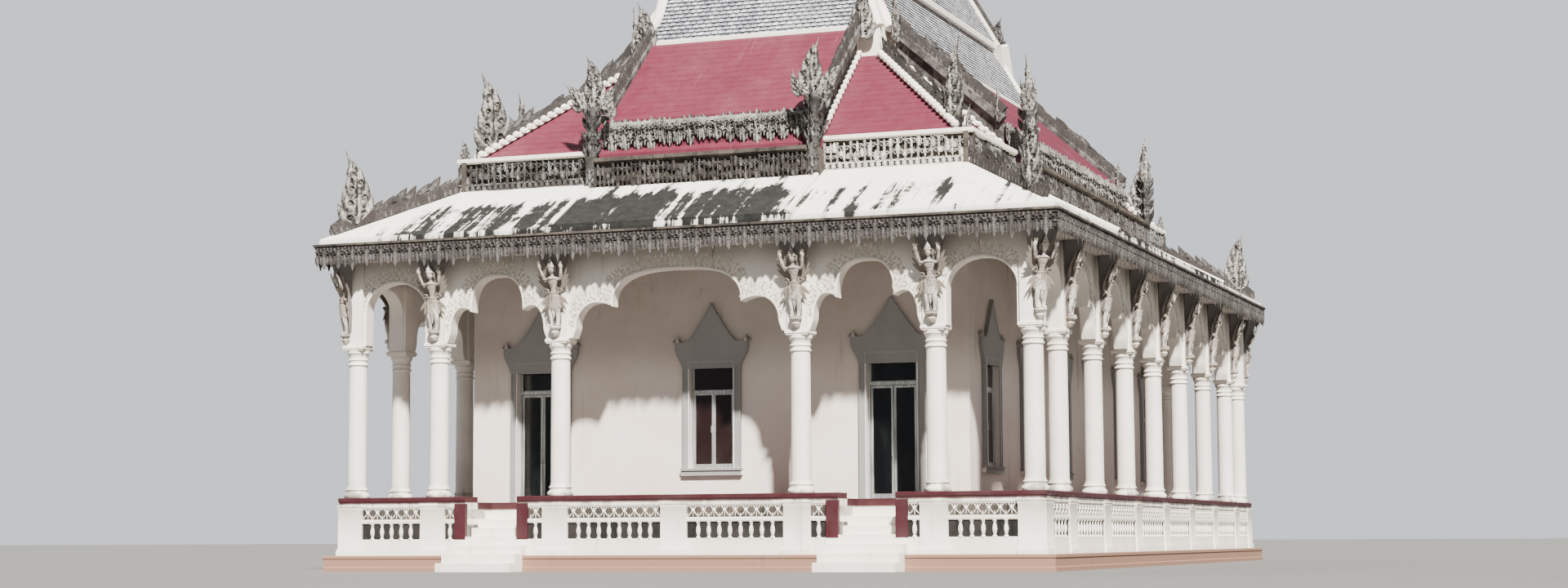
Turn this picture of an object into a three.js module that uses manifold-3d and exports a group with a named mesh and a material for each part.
// Buddhist temple hall with a columned veranda on a moulded plinth, under a tiered roof.
// Units are millimetres. X runs along the entrance front, Y into the hall, Z up.
// The origin is on the ground, at the centre of the building.
import * as THREE from 'three';
import { mergeVertices } from 'three/addons/utils/BufferGeometryUtils.js';
import Module from 'manifold-3d';

const wasm = await Module();
wasm.setup();

// Plan of the column axes
const HALF_W = 7500;
const HALF_D = 10880;
const FRONT_INNER = 2670;
const FRONT_OUTER = 5520;
const SIDE_PITCH = 3000;
const SIDE_BAYS = 6;
const SIDE_END = SIDE_PITCH * SIDE_BAYS / 2;

// Levels of the base
const STEP_TOP = 330;
const PLINTH_TOP = 1300;
const FLOOR = 1450;
const KERB_TOP = 1560;
const PLINTH_OUT = 230;
const STEP_OUT = 500;
const KERB_LIP = 60;
const KERB_W = 570;
const PEDESTAL_OUT = 50;
const PEDESTAL_HALF = 280;

// Stairs up to the front and back doors
const STAIR_X = 4140;
const STAIR_HALF = 600;
const CHEEK_W = 250;
const RISERS = 8;
const LOW_TREADS = 3;
const LOW_TREAD = 280;
const HIGH_TREAD = 295;

// Columns and arcades
const ABACUS_TOP = 4830;
const ABACUS_T = 100;
const ABACUS_HALF = 250;
const PIER_HALF = 210;
const BEAM_HALF = 150;
const SOFFIT = 6610;
const FASCIA_FOOT = 6510;
const ROUND_SIDES = 12;
const BRACKET_FOOT = 4880;
const BRACKET_OUT = 640;
const BRACKET_HALF = 110;

// Hall walls, doors and windows
const HALL_X = 5660;
const HALL_Y = HALF_D - 1830;
const WALL = 250;
const DOOR_X = 4010;
const DOOR_HALF = 550;
const DOOR_TOP = 4460;
const TRANSOM = [3800, 3870];
const WINDOW_HALF = 500;
const WINDOW_Z = [2140, 4380];
const SURROUND_W = 160;
const SURROUND_OUT = 60;
const HOOD_OUT = 80;
const HOOD_APEX_Z = 5640;
const FRAME_W = 45;
const FRAME_HALF_T = 40;
const FRAME_Y = -HALL_Y + 90;
const SHEET_T = 10;

// Door leaves
const LEAF_HALF_T = 20;
const LEAF_GAP = 6;
const MEET_GAP = 4;
const STILE = 60;
const PANE_HALF_T = 4;
const PIVOT_R = 9;
const PIVOT_GAP = 0.3;

// Roofs
const SLAB_T = 150;
const EAVE_OUT = 730;
const EAVE_X = HALF_W + EAVE_OUT;
const EAVE_Y = HALF_D + EAVE_OUT;
const EAVE_T = 80;
const ROOF_INSET = 110;
const ROOF_SEAT = 90;
const EAVE_UNDER = 6990;
const EAVE_TOP = 7110;
const BAND_X = 5900;
const BAND_Y = HALF_D - 1450;
const BAND_T = 200;
const BAND_TOP = 9010;
const LOWER_TOP = 8280;
const SHELL = 160;
const STRIP_RISE = 60;
const STRIP_X = FRONT_INNER;
const STRIP_Y = 6000;
const BLOCK_OUT = 360;
const BLOCK_TOP = 8790;
const POST = 260;
const POST_TOP = 9930;
const RED_FOOT = 8950;
const RED_SLOPE = 0.87;
const TIER_X = 3100;
const TIER_Y = HALF_D - 4250;
const TIER_FOOT = RED_FOOT + RED_SLOPE * (BAND_X - BAND_T - TIER_X);
const TIER_KNEE = 11866;
const TIER_TOP = 13700;
const TIER_SET = 150;
const TIER_RUN = 1050;
const TIER_WALL = 200;
const RED_STRIP_OUT = HALF_D - 1790;
const RED_STRIP_EDGE = 9700;
const RED_STRIP_HALF = 2450;
const RED_SIDE_HALF = STRIP_Y - STRIP_X + RED_STRIP_HALF;
const GABLE_HALF = 2200;
const GABLE_INNER = 1950;
const RIDGE_Z = 17460;
const GABLE_Y = 6000;
const FIT = 0.3;

// Crests on the hips, and the flame finials
const CREST_HALF = 80;
const EAVE_CREST = 400;
const RED_CREST = 480;
const CREST_ROOT = 120;
const CREST_IN = 100;
const EAVE_FLAME = 1700;
const EAVE_FLAME_IN = 720;
const RED_FLAME = 1800;
const RED_FLAME_IN = 260;
const TIER_FLAME = 1300;
const CORNER_FLAME = 420;
const POST_FLAME = 1350;
const RIDGE_FLAME = 1300;

const COLOURS = {
  white: { color: 0xe9e4d6, roughness: 0.85 },
  pink: { color: 0xc9a592, roughness: 0.9 },
  maroon: { color: 0x8a4a55, roughness: 0.7 },
  cream: { color: 0xeae2d4, roughness: 0.85 },
  grey: { color: 0x7d8078, roughness: 0.9 },
  red: { color: 0xb0586c, roughness: 0.7 },
  tile: { color: 0xd7d9da, roughness: 0.8 },
  aluminium: { color: 0xb9c4c6, roughness: 0.4, metalness: 0.8 },
  glass: { color: 0x2b2c33, roughness: 0.1 },
};

// Solids from three.js geometry, and back
function solid(geometry) {
  const bare = geometry.clone();
  bare.deleteAttribute('normal');
  bare.deleteAttribute('uv');
  const merged = mergeVertices(bare, 1e-3);
  return new wasm.Manifold(new wasm.Mesh({
    numProp: 3,
    vertProperties: new Float32Array(merged.attributes.position.array),
    triVerts: new Uint32Array(merged.index.array),
  }));
}

function geometryOf(manifold) {
  const mesh = manifold.getMesh();
  const geometry = new THREE.BufferGeometry();
  geometry.setAttribute('position', new THREE.BufferAttribute(new Float32Array(mesh.vertProperties), 3));
  geometry.setIndex(new THREE.BufferAttribute(new Uint32Array(mesh.triVerts), 1));
  geometry.computeVertexNormals();
  return geometry;
}

function join(solids) {
  return solids.reduce((whole, next) => whole.add(next));
}

function cut(whole, tools) {
  return tools.reduce((rest, tool) => rest.subtract(tool), whole);
}

function block(x, y, z) {
  const box = new THREE.BoxGeometry(x[1] - x[0], y[1] - y[0], z[1] - z[0]);
  box.translate((x[0] + x[1]) / 2, (y[0] + y[1]) / 2, (z[0] + z[1]) / 2);
  return solid(box);
}

function shapeOf(points) {
  return new THREE.Shape(points.map(([u, v]) => new THREE.Vector2(u, v)));
}

// A prism whose X-Z outline is carried along Y
function alongY(points, y) {
  const geometry = new THREE.ExtrudeGeometry(shapeOf(points), { depth: y[1] - y[0], bevelEnabled: false });
  geometry.rotateX(Math.PI / 2);
  geometry.translate(0, y[1], 0);
  return solid(geometry);
}

// A prism whose Y-Z outline is carried along X
function alongX(points, x) {
  const geometry = new THREE.ExtrudeGeometry(shapeOf(points), { depth: x[1] - x[0], bevelEnabled: false });
  geometry.rotateX(Math.PI / 2);
  geometry.rotateZ(Math.PI / 2);
  geometry.translate(x[0], 0, 0);
  return solid(geometry);
}

// A prism whose X-Y outline is carried up
function alongZ(points, z) {
  const geometry = new THREE.ExtrudeGeometry(shapeOf(points), { depth: z[1] - z[0], bevelEnabled: false });
  geometry.translate(0, 0, z[0]);
  return solid(geometry);
}

// A ring with mitred corners: each profile point is a rectangle's half width, half depth and level
function hipRing(profile) {
  const corners = [[1, 1], [-1, 1], [-1, -1], [1, -1]];
  const position = profile.flatMap(([hx, hy, z]) => corners.flatMap(([sx, sy]) => [sx * hx, sy * hy, z]));
  const index = [];
  profile.forEach((unused, i) => {
    const next = (i + 1) % profile.length;
    corners.forEach((corner, k) => {
      const side = (k + 1) % 4;
      const a = 4 * i + k;
      const b = 4 * i + side;
      const c = 4 * next + side;
      const d = 4 * next + k;
      index.push(a, b, c, a, c, d);
    });
  });
  const geometry = new THREE.BufferGeometry();
  geometry.setAttribute('position', new THREE.Float32BufferAttribute(position, 3));
  geometry.setIndex(index);
  return solid(geometry);
}

function moved(source, x, y, z, turn = 0) {
  const geometry = geometryOf(source);
  geometry.rotateZ(turn);
  geometry.translate(x, y, z);
  return solid(geometry);
}

// A solid and its copy turned half round, for the opposite side of the building
function bothEnds(source) {
  return source.add(moved(source, 0, 0, 0, Math.PI));
}

// Points of an elliptical arc, in degrees
function arc(cx, cz, rx, rz, from, to, steps, power = 2) {
  return Array.from({ length: steps + 1 }, (unused, i) => {
    const t = THREE.MathUtils.degToRad(from + (to - from) * i / steps);
    const c = Math.cos(t);
    const s = Math.sin(t);
    const u = Math.sign(c) * Math.abs(c) ** (2 / power);
    const v = Math.sign(s) * Math.abs(s) ** (2 / power);
    return [cx + rx * u, cz + rz * v];
  });
}

// Openings under the arcades, from below the piers up, centred on 0
const ARCH_LOW = ABACUS_TOP - 10;

function roundArch(half) {
  const spring = 5560;
  const rise = 580;
  return [[half, ARCH_LOW], ...arc(0, spring, half, rise, 0, 180, 8), [-half, ARCH_LOW]];
}

function lobedArch(outer, lobe, cusp, top, power) {
  const spring = 5060;
  const lobeTop = 5550;
  const cuspZ = 5440;
  const right = [
    ...arc(lobe, spring, outer - lobe, lobeTop - spring, 0, 90, 3),
    ...arc(lobe, cuspZ, lobe - cusp, lobeTop - cuspZ, 90, 180, 2).slice(1),
  ];
  const middle = arc(0, cuspZ, cusp, top - cuspZ, 0, 180, 10, power).slice(1, -1);
  const left = right.map(([x, z]) => [-x, z]).reverse();
  return [[outer, ARCH_LOW], ...right, ...middle, ...left, [-outer, ARCH_LOW]];
}

const CORNER_ARCH = roundArch(715);
const BAY_ARCH = lobedArch(1090, 830, 590, 6150, 2);
const CENTRE_ARCH = lobedArch(2250, 1800, 1430, 6180, 2.7);

// The carved bracket that leans out from a pier to the eave, facing -Y from the pier's axis
function bracket() {
  const inPier = -PIER_HALF + 40;
  const outline = [
    [inPier, BRACKET_FOOT],
    [inPier, SOFFIT],
    [-BRACKET_OUT, SOFFIT],
    [-BRACKET_OUT + 40, FASCIA_FOOT - 60],
    [-430, 5900],
    [-330, 5250],
    [-350, 5060],
  ];
  return alongX(outline, [-BRACKET_HALF, BRACKET_HALF]);
}

function columnSolid() {
  const height = ABACUS_TOP - ABACUS_T - KERB_TOP;
  const profile = [
    [0, 0],
    [275, 0],
    [275, 90],
    [235, 130],
    [203, 280],
    [195, height - 330],
    [232, height - 290],
    [200, height - 230],
    [245, height - 50],
    [245, height],
    [0, height],
  ];
  const lathe = new THREE.LatheGeometry(profile.map(([r, z]) => new THREE.Vector2(r, z)), ROUND_SIDES);
  lathe.rotateX(Math.PI / 2);
  lathe.translate(0, 0, KERB_TOP);
  const across = [-ABACUS_HALF, ABACUS_HALF];
  const abacus = block(across, across, [ABACUS_TOP - ABACUS_T, ABACUS_TOP]);
  return solid(lathe).add(abacus);
}

// The flame-shaped finial, in the X-Z plane, leaning to -X
function flame(height) {
  const outline = [
    [0.12, 0],
    [0.1, 0.2],
    [0.15, 0.4],
    [0.04, 0.7],
    [-0.17, 1],
    [-0.11, 0.72],
    [-0.15, 0.48],
    [-0.1, 0.2],
    [-0.12, 0],
  ];
  const half = height * 0.05;
  return alongY(outline.map(([u, v]) => [u * height, v * height]), [-half, half]);
}

// Base
function baseStep() {
  const x = HALF_W + STEP_OUT;
  const y = HALF_D + STEP_OUT;
  return cut(block([-x, x], [-y, y], [0, STEP_TOP]), stairSlots(-10, STEP_TOP + 10));
}

const PLINTH_X = HALF_W + PLINTH_OUT;
const PLINTH_Y = HALF_D + PLINTH_OUT;
const PEDESTAL_Y = PLINTH_Y + PEDESTAL_OUT;
const STAIR_HEAD = PEDESTAL_Y - (RISERS - 1 - LOW_TREADS) * HIGH_TREAD;
const STAIR_FOOT = PEDESTAL_Y + LOW_TREADS * LOW_TREAD;

function stairSlots(z0, z1) {
  return [-1, 1].flatMap((end) => [-STAIR_X, STAIR_X].flatMap((x) => [
    block(
      [x - STAIR_HALF, x + STAIR_HALF],
      [STAIR_HEAD, STAIR_FOOT].map((y) => end * y).sort(byValue),
      [z0, z1],
    ),
    block(
      [x - STAIR_HALF - CHEEK_W, x + STAIR_HALF + CHEEK_W],
      [PEDESTAL_Y, STAIR_FOOT].map((y) => end * y).sort(byValue),
      [z0, z1],
    ),
  ]));
}

function byValue(a, b) {
  return a - b;
}

const FRONT_COLUMNS = [-HALF_W, -FRONT_OUTER, -FRONT_INNER, FRONT_INNER, FRONT_OUTER, HALF_W];
const SIDE_COLUMNS = Array.from({ length: SIDE_BAYS + 1 }, (unused, i) => -SIDE_END + i * SIDE_PITCH);

// Points of one quarter of the plinth's outline: along a face from its middle, out around each
// raised block and back, up to the corner
function facePoints(face, blocks, corner) {
  const out = face + PEDESTAL_OUT;
  return blocks.flatMap(([from, to]) => [[from, face], [from, out], [to, out], [to, face]]).filter(
    ([along]) => along >= 0 && along <= corner,
  );
}

function plinth() {
  const pedestal = (centre) => [centre - PEDESTAL_HALF, centre + PEDESTAL_HALF];
  const cheek = STAIR_HALF + CHEEK_W;
  const frontBlocks = [
    pedestal(0),
    pedestal(FRONT_INNER),
    [STAIR_X - cheek, STAIR_X + cheek],
    pedestal(FRONT_OUTER),
    pedestal(HALF_W),
  ];
  const sideBlocks = [...SIDE_COLUMNS.filter((y) => y >= 0), HALF_D].map(pedestal);
  const front = facePoints(PLINTH_Y, frontBlocks, PLINTH_X);
  const side = facePoints(PLINTH_X, sideBlocks, PLINTH_Y).map(([y, x]) => [x, y]);
  const quarter = [...side, [PLINTH_X, PLINTH_Y], ...front.reverse()];
  const mirrored = (sx, sy) => quarter.map(([x, y]) => [sx * x, sy * y]);
  const outline = [
    ...mirrored(1, 1),
    ...mirrored(-1, 1).reverse(),
    ...mirrored(-1, -1),
    ...mirrored(1, -1).reverse(),
  ];
  return cut(alongZ(outline, [STEP_TOP, PLINTH_TOP]), stairSlots(STEP_TOP - 10, PLINTH_TOP + 10));
}

const KERB_X = PLINTH_X + KERB_LIP;
const KERB_Y = PLINTH_Y + KERB_LIP;

function verandaFloor() {
  const x = KERB_X - KERB_W;
  const y = KERB_Y - KERB_W;
  const slab = block([-x, x], [-y, y], [PLINTH_TOP, FLOOR]);
  return cut(slab, stairSlots(PLINTH_TOP - 10, FLOOR + 10));
}

// The part of the kerb round the floor that lies in a range of X and Y, parted by the stairs
function kerb(x, y) {
  const z = [PLINTH_TOP - 10, KERB_TOP + 10];
  const whole = block([-KERB_X, KERB_X], [-KERB_Y, KERB_Y], [PLINTH_TOP, KERB_TOP]);
  const inside = block([KERB_W - KERB_X, KERB_X - KERB_W], [KERB_W - KERB_Y, KERB_Y - KERB_W], z);
  return cut(whole, [inside, ...stairSlots(...z)]).intersect(block(x, y, z));
}

// One flight, wide below the plinth's face and narrow between its cheeks, rising towards +Y
function stair() {
  const riser = FLOOR / RISERS;
  const low = [[-STAIR_FOOT, 0]];
  for (let step = 0; step < LOW_TREADS; step += 1) {
    const y = -STAIR_FOOT + step * LOW_TREAD;
    low.push([y, (step + 1) * riser], [y + LOW_TREAD, (step + 1) * riser]);
  }
  low.push([-PEDESTAL_Y, 0]);
  const high = [[-PEDESTAL_Y, 0]];
  for (let step = LOW_TREADS; step < RISERS - 1; step += 1) {
    const y = -PEDESTAL_Y + (step - LOW_TREADS) * HIGH_TREAD;
    high.push([y, (step + 1) * riser], [y + HIGH_TREAD, (step + 1) * riser]);
  }
  high.push([-STAIR_HEAD, 0]);
  const wide = STAIR_HALF + CHEEK_W;
  return alongX(low.reverse(), [-wide, wide]).add(alongX(high.reverse(), [-STAIR_HALF, STAIR_HALF]));
}

// Grey surrounds and hoods on the face of a wall whose outer side is y = 0 and faces -Y
function hood(half) {
  const foot = half + SURROUND_W;
  const right = [
    [foot, 0],
    [foot + 130, 0.16],
    [foot + 175, 0.3],
    [foot + 120, 0.42],
    [foot + 60, 0.3],
    [half + 30, 0.3],
    [half * 0.5, 0.58],
  ];
  const rise = HOOD_APEX_Z - DOOR_TOP;
  const place = ([x, t]) => [x, DOOR_TOP + t * rise];
  const left = right.map(([x, t]) => [-x, t]).reverse();
  return alongY([...right.map(place), [0, HOOD_APEX_Z], ...left.map(place)], [-HOOD_OUT, 0]);
}

function jamb(x, z) {
  return block([x, x + SURROUND_W], [-SURROUND_OUT, 0], z);
}

function windowSurround() {
  const z = [WINDOW_Z[0], DOOR_TOP];
  const wide = WINDOW_HALF + SURROUND_W;
  const sill = block([-wide - 30, wide + 30], [-HOOD_OUT, 0], [WINDOW_Z[0] - 150, WINDOW_Z[0]]);
  const head = block([-wide, wide], [-SURROUND_OUT, 0], [WINDOW_Z[1], DOOR_TOP]);
  return join([jamb(WINDOW_HALF, z), jamb(-wide, z), sill, head, hood(WINDOW_HALF)]);
}

function windowHole() {
  return block([-WINDOW_HALF, WINDOW_HALF], [-HOOD_OUT - 10, WALL + 10], WINDOW_Z);
}

// Walls of the entrance front, outer face on y = -HALL_Y
const FRONT_WALL_Y = [-HALL_Y, -HALL_Y + WALL];
const WALL_Z = [FLOOR, SOFFIT];

function wallEnd(side) {
  const x = [side * (DOOR_X + DOOR_HALF), side * HALL_X].sort(byValue);
  const strip = side > 0 ? DOOR_X + DOOR_HALF : -DOOR_X - DOOR_HALF - SURROUND_W;
  return block(x, FRONT_WALL_Y, WALL_Z).add(moved(jamb(strip, [FLOOR, DOOR_TOP]), 0, -HALL_Y, 0));
}

function wallOverDoor(side) {
  const x = [side * DOOR_X - DOOR_HALF, side * DOOR_X + DOOR_HALF];
  return block(x, FRONT_WALL_Y, [DOOR_TOP, SOFFIT]).add(moved(hood(DOOR_HALF), side * DOOR_X, -HALL_Y, 0));
}

function wallCentre() {
  const half = DOOR_X - DOOR_HALF;
  const jambZ = [FLOOR, DOOR_TOP];
  return cut(
    join([
      block([-half, half], FRONT_WALL_Y, WALL_Z),
      moved(jamb(-half, jambZ), 0, -HALL_Y, 0),
      moved(jamb(half - SURROUND_W, jambZ), 0, -HALL_Y, 0),
      moved(windowSurround(), 0, -HALL_Y, 0),
    ]),
    [moved(windowHole(), 0, -HALL_Y, 0)],
  );
}

// The unseen end repeats the entrance front in one piece, outer face turned to -Y here too
function wallBack() {
  const doors = [-DOOR_X, DOOR_X];
  const sides = [-1, 1];
  const strips = sides.flatMap((side) => [
    moved(jamb(side * DOOR_X + DOOR_HALF, [FLOOR, DOOR_TOP]), 0, -HALL_Y, 0),
    moved(jamb(side * DOOR_X - DOOR_HALF - SURROUND_W, [FLOOR, DOOR_TOP]), 0, -HALL_Y, 0),
  ]);
  const holes = doors.map((x) => block(
    [x - DOOR_HALF, x + DOOR_HALF],
    [-HALL_Y - 10, -HALL_Y + WALL + 10],
    [FLOOR - 10, DOOR_TOP],
  ));
  return cut(
    join([
      block([-HALL_X, HALL_X], FRONT_WALL_Y, WALL_Z),
      moved(windowSurround(), 0, -HALL_Y, 0),
      ...doors.map((x) => moved(hood(DOOR_HALF), x, -HALL_Y, 0)),
      ...strips,
    ]),
    [...holes, moved(windowHole(), 0, -HALL_Y, 0)],
  );
}

const WINDOW_YS = Array.from({ length: SIDE_BAYS }, (unused, i) => -SIDE_END + (i + 0.5) * SIDE_PITCH);

// Long wall on the +X side
function wallSide() {
  const faces = WINDOW_YS.map((y) => moved(windowSurround(), HALL_X, y, 0, Math.PI / 2));
  const holes = WINDOW_YS.map((y) => moved(windowHole(), HALL_X, y, 0, Math.PI / 2));
  const inner = HALL_Y - WALL;
  return cut(join([block([HALL_X - WALL, HALL_X], [-inner, inner], WALL_Z), ...faces]), holes);
}

// Sheets of dark glass behind the openings of a wall
function sheetSide() {
  const end = SIDE_END - SIDE_PITCH / 2 + WINDOW_HALF + 100;
  return block([HALL_X - WALL - SHEET_T, HALL_X - WALL], [-end, end], [WINDOW_Z[0] - 60, WINDOW_Z[1] + 60]);
}

function sheetBack() {
  const end = DOOR_X + DOOR_HALF + 60;
  return block([-end, end], [-HALL_Y + WALL, -HALL_Y + WALL + SHEET_T], [FLOOR, DOOR_TOP + 60]);
}

function panelPocket(x, z) {
  const depth = [PANE_HALF_T, FRAME_HALF_T + 10];
  return [depth, depth.map((y) => -y).reverse()].map((y) => block(x, y, z));
}

// Framed window with a fixed light over two sashes, frame centre on y = 0
function frontWindow() {
  const half = WINDOW_HALF - FIT;
  const z = [WINDOW_Z[0] + FIT, WINDOW_Z[1] - FIT];
  const bar = 22;
  const head = WINDOW_Z[1] - 620;
  const frame = block([-half, half], [-FRAME_HALF_T, FRAME_HALF_T], z);
  return cut(frame, [
    ...panelPocket([-half + STILE, half - STILE], [head + bar, z[1] - STILE]),
    ...panelPocket([-half + STILE, -bar], [z[0] + STILE, head - bar]),
    ...panelPocket([bar, half - STILE], [z[0] + STILE, head - bar]),
  ]);
}

// Door frame with its fixed light over the leaves, frame centre on y = 0
function doorFrame() {
  const half = DOOR_HALF - FIT;
  const top = DOOR_TOP - FIT;
  const frame = block([-half, half], [-FRAME_HALF_T, FRAME_HALF_T], [FLOOR, top]);
  const way = block(
    [FRAME_W - DOOR_HALF, DOOR_HALF - FRAME_W],
    [-FRAME_HALF_T - 10, FRAME_HALF_T + 10],
    [FLOOR - 10, TRANSOM[0]],
  );
  const light = panelPocket([FRAME_W - DOOR_HALF, DOOR_HALF - FRAME_W], [TRANSOM[1], DOOR_TOP - FRAME_W]);
  return cut(frame, [way, ...light]);
}

// Door leaf with its hinge line on x = 0, y = 0, reaching towards +X
const HINGE_X = DOOR_HALF - FRAME_W - LEAF_GAP - LEAF_HALF_T;
const LEAF_REACH = HINGE_X - MEET_GAP;

function doorLeaf() {
  const z = [FLOOR + 12, TRANSOM[0] - LEAF_GAP];
  const round = new THREE.CylinderGeometry(LEAF_HALF_T, LEAF_HALF_T, z[1] - z[0], ROUND_SIDES);
  round.rotateX(Math.PI / 2);
  round.translate(0, 0, (z[0] + z[1]) / 2);
  const pivotZ = [FLOOR + PIVOT_GAP, TRANSOM[0] - PIVOT_GAP];
  const pivot = new THREE.CylinderGeometry(PIVOT_R, PIVOT_R, pivotZ[1] - pivotZ[0], ROUND_SIDES);
  pivot.rotateX(Math.PI / 2);
  pivot.translate(0, 0, (pivotZ[0] + pivotZ[1]) / 2);
  const board = block([0, LEAF_REACH], [-LEAF_HALF_T, LEAF_HALF_T], z);
  const lights = panelPocket([STILE - LEAF_HALF_T, LEAF_REACH - STILE], [z[0] + 90, z[1] - STILE]);
  const gripX = LEAF_REACH - STILE / 2;
  const gripZ = [FLOOR + 850, FLOOR + 1150];
  const grips = [-1, 1].flatMap((side) => [
    block([gripX - 10, gripX + 10], [side * 50, side * 68].sort(byValue), gripZ),
    ...gripZ.map((end, i) => block(
      [gripX - 8, gripX + 8],
      [side * (LEAF_HALF_T - 2), side * 60].sort(byValue),
      [end - 20 * i, end + 20 * (1 - i)],
    )),
  ]);
  return join([cut(board, lights), solid(round), solid(pivot), ...grips]);
}

// Arcades
function arcade(ends, piers, bays) {
  const beam = block([ends[0], ends[1]], [-BEAM_HALF, BEAM_HALF], [ABACUS_TOP, SOFFIT]);
  const arches = bays.map(([x, outline]) => alongY(
    outline.map(([u, z]) => [u + x, z]),
    [-BEAM_HALF - 10, BEAM_HALF + 10],
  ));
  const posts = piers.map((x) => block(
    [x - PIER_HALF, x + PIER_HALF],
    [-PIER_HALF, PIER_HALF],
    [ABACUS_TOP, SOFFIT],
  ));
  return join([cut(beam, arches), ...posts]);
}

function frontArcade() {
  const doorBay = (FRONT_INNER + FRONT_OUTER) / 2;
  const cornerBay = (FRONT_OUTER + HALF_W) / 2;
  const bays = [
    [0, CENTRE_ARCH],
    [-doorBay, BAY_ARCH],
    [doorBay, BAY_ARCH],
    [-cornerBay, CORNER_ARCH],
    [cornerBay, CORNER_ARCH],
  ];
  const end = HALF_W + PIER_HALF;
  const inner = FRONT_COLUMNS.slice(1, -1).map((x) => moved(bracket(), x, 0, 0));
  const corners = [-1, 1].map((side) => moved(bracket(), side * HALF_W, 0, 0, side * Math.PI / 4));
  return join([arcade([-end, end], FRONT_COLUMNS, bays), ...inner, ...corners]);
}

// Long arcade with its inner columns, as seen from outside, running along X until it is turned
function sideArcade() {
  const column = columnSolid();
  const cornerBay = (SIDE_END + HALF_D) / 2;
  const bays = [
    ...WINDOW_YS.map((x) => [x, BAY_ARCH]),
    [-cornerBay, CORNER_ARCH],
    [cornerBay, CORNER_ARCH],
  ];
  const end = HALF_D - PIER_HALF;
  return join([
    arcade([-end, end], SIDE_COLUMNS, bays),
    ...SIDE_COLUMNS.map((x) => moved(column, x, 0, 0)),
    ...SIDE_COLUMNS.map((x) => moved(bracket(), x, 0, 0)),
  ]);
}

// Roofs
function ceilingSlab() {
  const x = EAVE_X - EAVE_T;
  const y = EAVE_Y - EAVE_T;
  return block([-x, x], [-y, y], [SOFFIT, SOFFIT + SLAB_T]);
}

function eaveFascia() {
  const slabTop = SOFFIT + SLAB_T;
  const board = EAVE_T;
  const seat = EAVE_T + ROOF_SEAT;
  return hipRing([
    [EAVE_X, EAVE_Y, FASCIA_FOOT],
    [EAVE_X, EAVE_Y, EAVE_UNDER],
    [EAVE_X - seat, EAVE_Y - seat, EAVE_UNDER],
    [EAVE_X - seat, EAVE_Y - seat, slabTop],
    [EAVE_X - board, EAVE_Y - board, slabTop],
    [EAVE_X - board, EAVE_Y - board, FASCIA_FOOT],
  ]);
}

// Crest on a hip that rises inwards at 45 degrees in plan, from its foot and head as x, y and z,
// with a tall flame set in from its foot
function hipCrest(foot, head, rise, flameIn, flameHeight) {
  const run = Math.hypot(foot[0] - head[0], foot[1] - head[1]);
  const turn = Math.atan2(head[1] - foot[1], head[0] - foot[0]);
  const outline = [
    [0, foot[2] - CREST_ROOT],
    [run, head[2] - CREST_ROOT],
    [run, head[2] + rise],
    [0, foot[2] + rise],
  ];
  const rib = alongY(outline, [-CREST_HALF, CREST_HALF]);
  const tip = moved(flame(flameHeight), flameIn, 0, foot[2] + rise / 2);
  return moved(rib.add(tip), foot[0], foot[1], 0, turn);
}

function fourCorners(make) {
  return [[1, 1], [-1, 1], [-1, -1], [1, -1]].map(([sx, sy]) => make(sx, sy));
}

function lowerRoof() {
  const footX = EAVE_X - ROOF_INSET;
  const footY = EAVE_Y - ROOF_INSET;
  const shell = hipRing([
    [footX, footY, EAVE_UNDER],
    [footX, footY, EAVE_TOP],
    [BAND_X, BAND_Y, LOWER_TOP],
    [BAND_X, BAND_Y, LOWER_TOP - SHELL],
    [footX - ROOF_SEAT, footY - ROOF_SEAT, EAVE_UNDER],
  ]);
  const strip = (eave, band) => [
    [-eave, EAVE_TOP - 40],
    [-band, LOWER_TOP - 40],
    [-band, LOWER_TOP + STRIP_RISE],
    [-eave, EAVE_TOP + STRIP_RISE],
  ];
  const front = alongX(strip(footY, BAND_Y), [-STRIP_X, STRIP_X]);
  const side = moved(alongX(strip(footX, BAND_X), [-STRIP_Y, STRIP_Y]), 0, 0, 0, Math.PI / 2);
  const crests = fourCorners((sx, sy) => hipCrest(
    [sx * footX, sy * footY, EAVE_TOP],
    [sx * BAND_X, sy * BAND_Y, LOWER_TOP],
    EAVE_CREST,
    EAVE_FLAME_IN,
    EAVE_FLAME,
  ));
  const whole = join([shell, bothEnds(front), bothEnds(side), ...crests]);
  return cut(whole, [bandTool()]);
}

// What the parapet band takes out of the roof that meets it
function bandTool() {
  const inner = block([-BAND_X, BAND_X], [-BAND_Y, BAND_Y], [0, POST_TOP + 2000]);
  const z = [0, POST_TOP];
  const y = BAND_Y + BLOCK_OUT + FIT;
  const x = BAND_X + BLOCK_OUT + FIT;
  const across = STRIP_X + FIT;
  const along = STRIP_Y + FIT;
  return join([inner, block([-across, across], [-y, y], z), block([-x, x], [-along, along], z)]);
}

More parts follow.
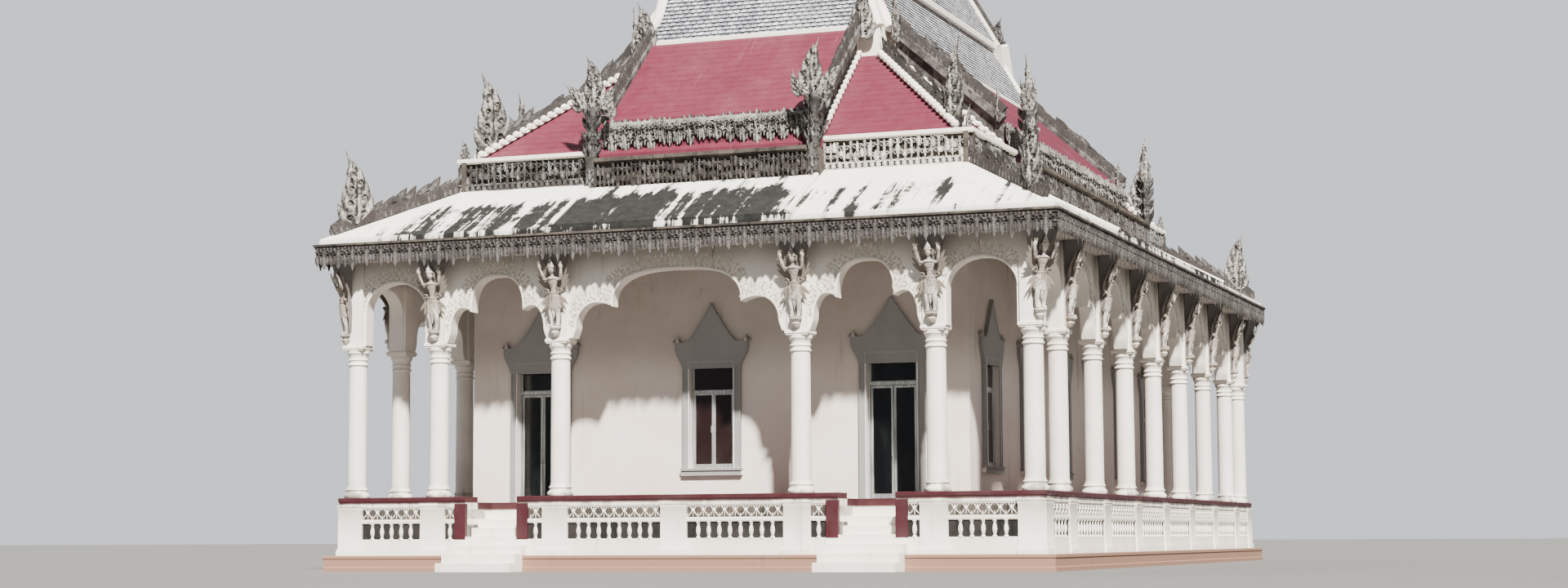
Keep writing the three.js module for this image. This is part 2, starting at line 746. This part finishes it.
function band() {
  const ring = hipRing([
    [BAND_X, BAND_Y, SOFFIT + SLAB_T],
    [BAND_X, BAND_Y, BAND_TOP],
    [BAND_X - BAND_T, BAND_Y - BAND_T, BAND_TOP],
    [BAND_X - BAND_T, BAND_Y - BAND_T, SOFFIT + SLAB_T],
  ]);
  const foot = LOWER_TOP - 460;
  const low = [BLOCK_TOP, BAND_TOP + 10];
  const frontWay = block([-STRIP_X + POST, STRIP_X - POST], [-BAND_Y - 10, BAND_Y + 10], low);
  const sideWay = block([-BAND_X - 10, BAND_X + 10], [-STRIP_Y + POST, STRIP_Y - POST], low);
  const front = block([-STRIP_X, STRIP_X], [-BAND_Y - BLOCK_OUT, -BAND_Y], [foot, BLOCK_TOP]);
  const side = block([BAND_X, BAND_X + BLOCK_OUT], [-STRIP_Y, STRIP_Y], [foot, BLOCK_TOP]);
  const frontPosts = [-1, 1].map((s) => postWithFlame(
    [s * (STRIP_X - POST / 2), -BAND_Y - BLOCK_OUT + POST / 2],
    s > 0 ? Math.PI : 0,
    foot,
  ));
  const sidePosts = [-1, 1].map((s) => postWithFlame(
    [BAND_X + BLOCK_OUT - POST / 2, s * (STRIP_Y - POST / 2)],
    s > 0 ? -Math.PI / 2 : Math.PI / 2,
    foot,
  ));
  const cornerFlames = fourCorners((sx, sy) => moved(
    flame(CORNER_FLAME),
    sx * (BAND_X - BAND_T / 2),
    sy * (BAND_Y - BAND_T / 2),
    BAND_TOP - 20,
    Math.atan2(-sy, -sx),
  ));
  return join([
    cut(ring, [frontWay, sideWay]),
    ...[front, side, ...frontPosts, ...sidePosts].map(bothEnds),
    ...cornerFlames,
  ]);
}

function postWithFlame(at, turn, foot) {
  const half = POST / 2;
  const post = block([-half, half], [-half, half], [foot, POST_TOP]);
  const tip = moved(flame(POST_FLAME), 0, 0, POST_TOP - 20);
  return moved(post.add(tip), at[0], at[1], 0, turn);
}

function redRoof() {
  const footX = BAND_X - BAND_T;
  const footY = BAND_Y - BAND_T;
  const ledgeX = TIER_X - TIER_SET - TIER_WALL;
  const ledgeY = TIER_Y - TIER_SET - TIER_WALL;
  const shell = hipRing([
    [footX, footY, RED_FOOT - SHELL],
    [footX, footY, RED_FOOT],
    [TIER_X, TIER_Y, TIER_FOOT],
    [ledgeX, ledgeY, TIER_FOOT],
    [ledgeX, ledgeY, TIER_FOOT - SHELL],
    [TIER_X, TIER_Y, TIER_FOOT - SHELL],
  ]);
  const inFlank = 60;
  const strip = (foot, out, top) => [
    [-out, RED_FOOT + RED_SLOPE * (foot - out) - inFlank],
    [-top, TIER_FOOT - inFlank],
    [-top, TIER_KNEE],
    [-out, RED_STRIP_EDGE],
  ];
  const outX = RED_STRIP_OUT - BAND_Y + BAND_X;
  const front = alongX(strip(footY, RED_STRIP_OUT, TIER_Y), [-RED_STRIP_HALF, RED_STRIP_HALF]);
  const sideStrip = alongX(strip(footX, outX, TIER_X), [-RED_SIDE_HALF, RED_SIDE_HALF]);
  const side = moved(sideStrip, 0, 0, 0, Math.PI / 2);
  const crests = fourCorners((sx, sy) => hipCrest(
    [sx * (footX - CREST_IN), sy * (footY - CREST_IN), RED_FOOT + RED_SLOPE * CREST_IN],
    [sx * TIER_X, sy * TIER_Y, TIER_FOOT],
    RED_CREST,
    RED_FLAME_IN,
    RED_FLAME,
  ));
  return join([shell, bothEnds(front), bothEnds(side), ...crests, ...tierFlames()]);
}

// Flames at the upper corners of the raised red strips, just clear of the white tier
function tierFlames() {
  const clear = 130;
  const edge = 60;
  const foot = TIER_KNEE - 220;
  const places = [
    [RED_STRIP_HALF - edge, -TIER_Y - clear, Math.PI],
    [edge - RED_STRIP_HALF, -TIER_Y - clear, 0],
    [TIER_X + clear, RED_SIDE_HALF - edge, -Math.PI / 2],
    [TIER_X + clear, edge - RED_SIDE_HALF, Math.PI / 2],
  ];
  return places.map(([x, y, turn]) => bothEnds(moved(flame(TIER_FLAME), x, y, foot, turn)));
}

function whiteTier() {
  const x = TIER_X - TIER_SET;
  const y = TIER_Y - TIER_SET;
  const topX = TIER_X - TIER_RUN;
  const topY = TIER_Y - TIER_RUN;
  const shell = hipRing([
    [x, y, TIER_FOOT],
    [x, y, TIER_KNEE],
    [topX, topY, TIER_TOP],
    [topX - TIER_WALL, topY - TIER_WALL, TIER_TOP],
    [x - TIER_WALL, y - TIER_WALL, TIER_KNEE],
    [x - TIER_WALL, y - TIER_WALL, TIER_FOOT],
  ]);
  const strip = (out, top) => [
    [-out, TIER_FOOT],
    [-out + TIER_WALL, TIER_FOOT],
    [-out + TIER_WALL + 40, TIER_KNEE],
    [-top + 40, TIER_TOP],
    [-top, TIER_TOP],
    [-out, TIER_KNEE],
  ];
  const front = alongX(strip(TIER_Y, topY), [-RED_STRIP_HALF, RED_STRIP_HALF]);
  const side = moved(alongX(strip(TIER_X, topX), [-RED_SIDE_HALF, RED_SIDE_HALF]), 0, 0, 0, Math.PI / 2);
  return join([shell, bothEnds(front), bothEnds(side)]);
}

function gableRoof() {
  const outer = [[GABLE_HALF, TIER_TOP], [0, RIDGE_Z], [-GABLE_HALF, TIER_TOP]];
  const slope = (RIDGE_Z - TIER_TOP) / GABLE_HALF;
  const innerTop = TIER_TOP + slope * GABLE_INNER;
  const inner = [[-GABLE_INNER, TIER_TOP], [0, innerTop], [GABLE_INNER, TIER_TOP]];
  const roof = alongY([...outer, ...inner], [-GABLE_Y, GABLE_Y]);
  const crest = block([-70, 70], [-GABLE_Y, GABLE_Y], [RIDGE_Z - 200, RIDGE_Z + 180]);
  const horn = moved(flame(RIDGE_FLAME), 0, -GABLE_Y + 220, RIDGE_Z - 150, Math.PI / 2);
  return join([roof, crest, bothEnds(horn)]);
}

function pediment() {
  const slope = (RIDGE_Z - TIER_TOP) / GABLE_HALF;
  const half = GABLE_INNER - 1;
  const y = -(TIER_Y - TIER_RUN);
  return alongY([[half, TIER_TOP], [0, TIER_TOP + slope * half], [-half, TIER_TOP]], [y, y + TIER_WALL]);
}

// The assembly
const temple = new THREE.Group();
temple.name = 'temple';

function place(name, geometry, finish, x = 0, y = 0, z = 0, turn = 0) {
  const mesh = new THREE.Mesh(geometry, new THREE.MeshStandardMaterial(COLOURS[finish]));
  mesh.name = name;
  mesh.position.set(x, y, z);
  mesh.rotation.z = turn;
  temple.add(mesh);
}

const HALF_TURN = Math.PI;
const QUARTER = Math.PI / 2;

place('base_step', geometryOf(baseStep()), 'pink');
place('plinth', geometryOf(plinth()), 'white');
place('veranda_floor', geometryOf(verandaFloor()), 'maroon');

const shortKerb = geometryOf(kerb([-STAIR_X, STAIR_X], [-KERB_Y, 0]));
const longKerb = geometryOf(kerb([STAIR_X, KERB_X], [-KERB_Y, KERB_Y]));
place('front_kerb', shortKerb, 'maroon');
place('back_kerb', shortKerb, 'maroon', 0, 0, 0, HALF_TURN);
place('right_kerb', longKerb, 'maroon');
place('left_kerb', longKerb, 'maroon', 0, 0, 0, HALF_TURN);

const flight = geometryOf(stair());
place('front_left_stair', flight, 'white', -STAIR_X);
place('front_right_stair', flight, 'white', STAIR_X);
place('back_left_stair', flight, 'white', -STAIR_X, 0, 0, HALF_TURN);
place('back_right_stair', flight, 'white', STAIR_X, 0, 0, HALF_TURN);

place('front_wall_left_end', geometryOf(wallEnd(-1)), 'cream');
place('front_wall_over_left_door', geometryOf(wallOverDoor(-1)), 'cream');
place('front_wall_centre', geometryOf(wallCentre()), 'cream');
place('front_wall_over_right_door', geometryOf(wallOverDoor(1)), 'cream');
place('front_wall_right_end', geometryOf(wallEnd(1)), 'cream');
place('back_wall', geometryOf(wallBack()), 'cream', 0, 0, 0, HALF_TURN);

const longWall = geometryOf(wallSide());
place('right_wall', longWall, 'cream');
place('left_wall', longWall, 'cream', 0, 0, 0, HALF_TURN);

const longSheet = geometryOf(sheetSide());
place('front_window', geometryOf(frontWindow()), 'aluminium', 0, FRAME_Y);
place('right_window_sheet', longSheet, 'glass');
place('left_window_sheet', longSheet, 'glass', 0, 0, 0, HALF_TURN);
place('back_wall_sheet', geometryOf(sheetBack()), 'glass', 0, 0, 0, HALF_TURN);

const doorFrameShape = geometryOf(doorFrame());
const leafShape = geometryOf(doorLeaf());
for (const [side, x] of [['left', -DOOR_X], ['right', DOOR_X]]) {
  place(`front_${side}_door_frame`, doorFrameShape, 'aluminium', x, FRAME_Y);
  place(`front_${side}_door_left_leaf`, leafShape, 'aluminium', x - HINGE_X, FRAME_Y);
  place(`front_${side}_door_right_leaf`, leafShape, 'aluminium', x + HINGE_X, FRAME_Y, 0, HALF_TURN);
}

const column = geometryOf(columnSolid());
const columnRows = { front: -HALF_D, back: HALF_D };
const columnSides = { left: -1, right: 1 };
const columnSpots = { corner: HALF_W, outer: FRONT_OUTER, inner: FRONT_INNER };
for (const [row, y] of Object.entries(columnRows)) {
  for (const [side, sign] of Object.entries(columnSides)) {
    for (const [spot, x] of Object.entries(columnSpots)) {
      place(`${row}_${side}_${spot}_column`, column, 'white', sign * x, y);
    }
  }
}

const shortArcade = geometryOf(frontArcade());
const longArcade = geometryOf(sideArcade());
place('front_arcade', shortArcade, 'white', 0, -HALF_D);
place('back_arcade', shortArcade, 'white', 0, HALF_D, 0, HALF_TURN);
place('right_arcade', longArcade, 'white', HALF_W, 0, 0, QUARTER);
place('left_arcade', longArcade, 'white', -HALF_W, 0, 0, -QUARTER);

place('ceiling_slab', geometryOf(ceilingSlab()), 'cream');
place('eave_fascia', geometryOf(eaveFascia()), 'grey');
place('lower_roof', geometryOf(lowerRoof()), 'white');
place('parapet_band', geometryOf(band()), 'grey');
place('red_roof', geometryOf(redRoof()), 'red');
place('white_tier', geometryOf(whiteTier()), 'tile');
place('gable_roof', geometryOf(gableRoof()), 'red');

const gableEnd = geometryOf(pediment());
place('front_pediment', gableEnd, 'tile');
place('back_pediment', gableEnd, 'tile', 0, 0, 0, HALF_TURN);

export default temple;
